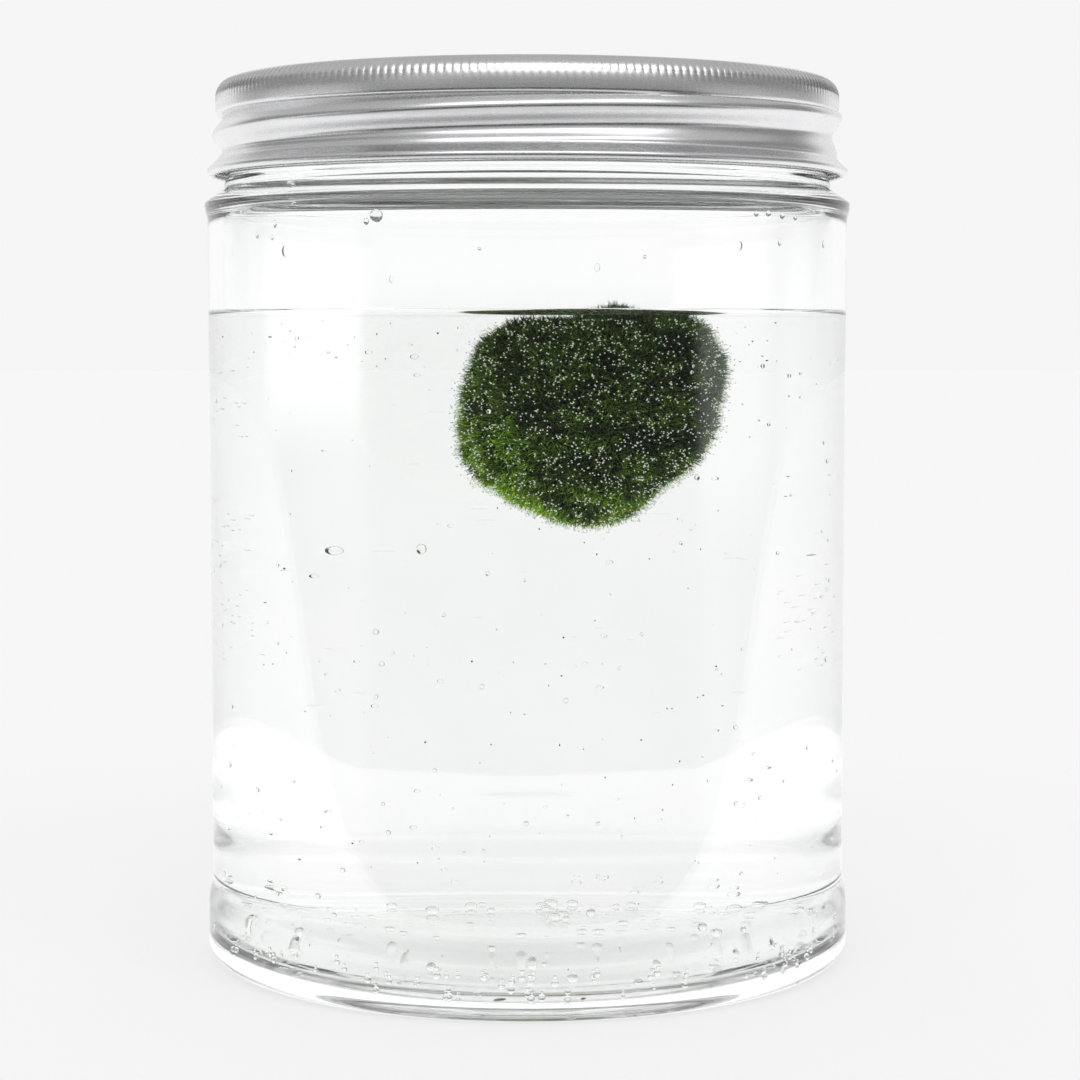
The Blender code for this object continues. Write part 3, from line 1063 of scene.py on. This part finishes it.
class MOSSJAR_OT_bubbles(Operator):
    """Make the bubbles that cling to the wall and the floor, and the streaks in the wall"""

    bl_idname = "mossjar.bubbles"
    bl_label = "Bubbles"

    def execute(self, context):
        jar = context.scene.moss_jar.jar
        count = context.scene.moss_jar.detail.bubbles
        inner = BODY_RADIUS - jar.wall
        rng = random.Random(5)
        bm = bmesh.new()
        for _ in range(count):
            size = rng.uniform(0.12, 0.38) * MM * (1 + (rng.random() < 0.12))
            angle = rng.uniform(-math.pi, math.pi)
            z = 6 * MM + (WATER_LEVEL - 9 * MM) * rng.random() ** 1.3
            bead(bm, on_wall(angle, z, inner, size + BUBBLE_GAP), size)
        for middle, half, low, high, pairs in BUBBLE_PATCHES:
            for _ in range(pairs):
                size = rng.uniform(0.25, 0.55) * MM
                angle = math.radians(middle + half * rng.uniform(-1, 1))
                z = rng.uniform(low, high) * MM
                wall = inner - corner_inset(z, jar)
                bead(bm, on_wall(angle, z, wall, size + BUBBLE_GAP), size, 3)
                small = size * rng.uniform(0.5, 0.8)
                above = z + (size + small) * 1.15
                bead(bm, on_wall(angle, above, wall, small + BUBBLE_GAP), small, 3)
        for middle, half, low, high, streaks in STREAK_PATCHES:
            for _ in range(streaks):
                angle = math.radians(middle + half * rng.uniform(-1, 1))
                place = on_wall(angle, rng.uniform(low, high) * MM, inner, 0.1 * MM)
                bead(bm, place, STREAK_THICK, 2, (rng.uniform(5, 14), 0.6, 0.8), angle)
        for _ in range(count // 3):
            size = rng.uniform(0.25, 0.8) * MM
            angle = rng.uniform(-math.pi, math.pi)
            r = (inner - 4.5 * MM) * math.sqrt(rng.random())
            place = on_wall(angle, floor_height(r, jar) + size * 0.9, r)
            bead(bm, place, size, stretch=(1.0, 1.0, 0.85))
        piece("bubbles", bm, bubble_look("bubble"), "jar")
        return {"FINISHED"}


# Droplets above the water: azimuth in degrees from the front, height and size in millimetres, and how much
# taller than wide.
DROPLETS = (
    (-26.3, 105.9, 0.92, 1.0),
    (-28.2, 105.2, 0.4, 1.2),
    (-70, 109.5, 0.6, 1.0),
    (-49.5, 109.7, 0.7, 0.9),
    (42.9, 106.5, 0.4, 1.2),
    (46, 106.6, 0.5, 1.0),
    (49.8, 106.4, 0.5, 1.1),
    (53.7, 106.2, 0.4, 1.0),
    (-49, 105.2, 0.3, 1.8),
    (-54.4, 103.8, 0.3, 1.5),
    (-49.8, 103.4, 0.25, 1.5),
    (49, 102.8, 0.3, 1.9),
    (64.4, 102.8, 0.3, 1.8),
    (20, 100.5, 0.22, 1.2),
    (-8, 101.5, 0.22, 1.0),
    (130, 104.0, 0.6, 1.2),
    (165, 101.0, 0.5, 1.4),
    (-120, 103.0, 0.7, 1.2),
    (-150, 99.0, 0.4, 1.5),
)


class MOSSJAR_OT_droplets(Operator):
    """Make the droplets that cling to the wall above the water"""

    bl_idname = "mossjar.droplets"
    bl_label = "Droplets"

    def execute(self, context):
        inner = BODY_RADIUS - context.scene.moss_jar.jar.wall
        bm = bmesh.new()
        for azimuth, height, size, tall in DROPLETS:
            z = height * MM
            bore = BORE_RADIUS if z > SHOULDER_TOP - 1.5 * MM else inner
            angle = math.radians(azimuth)
            place = on_wall(angle, z, bore, 0.1 * size * MM)
            bead(bm, place, size * MM, 3, (1.0, 0.45, tall), angle)
        piece("droplets", bm, bubble_look("droplet"), "jar")
        return {"FINISHED"}


# Larger flecks in the floor's corner: azimuth in degrees from the front, size in millimetres and stretch.
FLECKS = ((-5, 0.35, 2.6), (10, 0.3, 1.4), (60, 0.35, 1.5), (-70, 0.3, 1.8))


class MOSSJAR_OT_specks(Operator):
    """Make the specks of loose moss on the wall and in the floor's corner"""

    bl_idname = "mossjar.specks"
    bl_label = "Specks"

    def execute(self, context):
        jar = context.scene.moss_jar.jar
        settings = context.scene.moss_jar.detail
        inner = BODY_RADIUS - jar.wall
        rng = random.Random(17)
        bm = bmesh.new()
        for i in range(settings.specks):
            size = rng.uniform(0.04, 0.11) * MM
            angle = rng.uniform(-math.pi, math.pi)
            z = 4 * MM + (WATER_LEVEL - 5 * MM) * rng.random()
            if i % 4 == 0:
                z = WATER_LEVEL - rng.uniform(0.3, 7.0) * MM
            place = on_wall(angle, z, inner, size + SPECK_GAP)
            bead(bm, place, size, 1, (1.0, 0.6, rng.uniform(0.7, 1.8)), angle)
        for azimuth, size, long in FLECKS:
            place = on_wall(math.radians(azimuth), jar.base + 0.4 * MM, inner - FLOOR_CORNER)
            bead(bm, place, size * MM, 2, (long, 0.6, 0.6), math.radians(azimuth + 25))
        piece("specks", bm, speck_look(settings), "jar")
        return {"FINISHED"}


# ---------------------------------------------------------------- panel and run

OPERATORS = (
    MOSSJAR_OT_stage,
    MOSSJAR_OT_jar,
    MOSSJAR_OT_lid,
    MOSSJAR_OT_liner,
    MOSSJAR_OT_water,
    MOSSJAR_OT_moss_ball,
    MOSSJAR_OT_bubbles,
    MOSSJAR_OT_droplets,
    MOSSJAR_OT_specks,
)


class MOSSJAR_PT_panel(Panel):
    """Lists the pieces of the moss ball jar"""

    bl_idname = "MOSSJAR_PT_panel"
    bl_label = "Moss Ball Jar"
    bl_space_type = "VIEW_3D"
    bl_region_type = "UI"
    bl_category = "Moss Jar"

    def draw(self, context):
        settings = context.scene.moss_jar
        for operator in OPERATORS:
            self.layout.operator(operator.bl_idname)
        for part in ("jar", "lid", "water", "moss", "detail", "stage"):
            group = getattr(settings, part)
            box = self.layout.box()
            for name in group.bl_rna.properties.keys():
                if name not in ("name", "rna_type"):
                    box.prop(group, name)


CLASSES = (
    JarSettings,
    LidSettings,
    WaterSettings,
    MossSettings,
    DetailSettings,
    StageSettings,
    MossJarSettings,
    *OPERATORS,
    MOSSJAR_PT_panel,
)


def register():
    for cls in CLASSES:
        bpy.utils.register_class(cls)
    bpy.types.Scene.moss_jar = PointerProperty(type=MossJarSettings)


def unregister():
    del bpy.types.Scene.moss_jar
    for cls in reversed(CLASSES):
        bpy.utils.unregister_class(cls)


def main():
    register()
    bpy.ops.mossjar.stage()
    bpy.ops.mossjar.jar()
    bpy.ops.mossjar.lid()
    bpy.ops.mossjar.liner()
    bpy.ops.mossjar.water()
    bpy.ops.mossjar.moss_ball()
    bpy.ops.mossjar.bubbles()
    bpy.ops.mossjar.droplets()
    bpy.ops.mossjar.specks()


if __name__ == "__main__":
    main()
